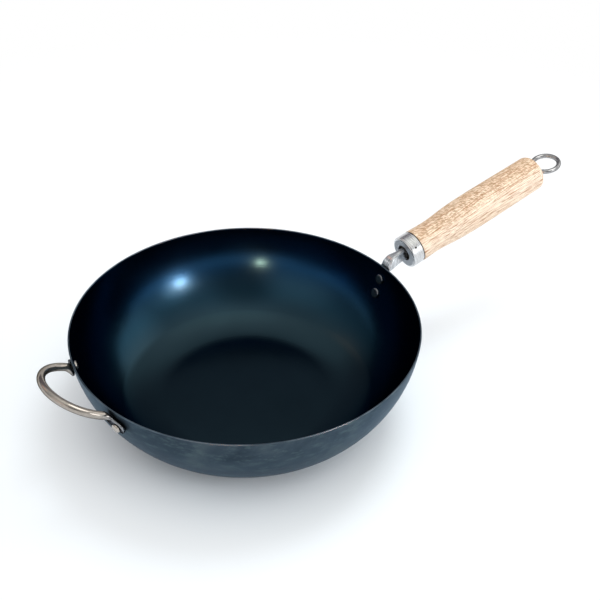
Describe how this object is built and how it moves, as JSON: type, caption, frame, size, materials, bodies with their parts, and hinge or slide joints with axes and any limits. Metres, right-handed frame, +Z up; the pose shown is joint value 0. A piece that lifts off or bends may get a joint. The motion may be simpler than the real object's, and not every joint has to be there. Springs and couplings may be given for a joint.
{
  "type": "stir-fry pan",
  "caption": "Deep blued-steel stir-fry pan with a flat base, a wooden grip on a riveted bracket, a hanging ring bolt and a bent steel helper handle.",
  "frame": {"origin": "centre of the base, on the surface that the pan stands on", "axes": "+X along the grip, away from the bowl; +Z up; +Y to the left when the pan is held by the grip and seen towards +X"},
  "size_m": [0.513, 0.28, 0.1322],
  "materials": {
    "blued_steel": "dark blued carbon steel, satin",
    "bracket_steel": "satin pressed steel",
    "rivet_steel": "dark blued steel, satin",
    "ferrule_steel": "bright satin stainless steel",
    "oak": "pale turned oak, open grain, matt",
    "wire_steel": "bright drawn steel wire",
    "polished_steel": "polished stainless steel"
  },
  "bodies": {
    "pan": {"pan_body": "blued_steel", "handle_bracket": "bracket_steel", "handle_rivet_upper": "rivet_steel", "handle_rivet_lower": "rivet_steel", "ferrule": "ferrule_steel", "grip": "oak", "tang_nut": "bracket_steel", "helper_handle": "polished_steel", "helper_rivet_left": "polished_steel", "helper_rivet_right": "polished_steel"},
    "ring_bolt": {"ring_bolt": "wire_steel"}
  },
  "joints": [
    {"name": "ring_turn", "type": "hinge", "parent": "pan", "child": "ring_bolt", "pos_m": [0.31264, 0, 0.11768], "axis": [0.9744, 0, 0.225], "continuous": true}
  ]
}
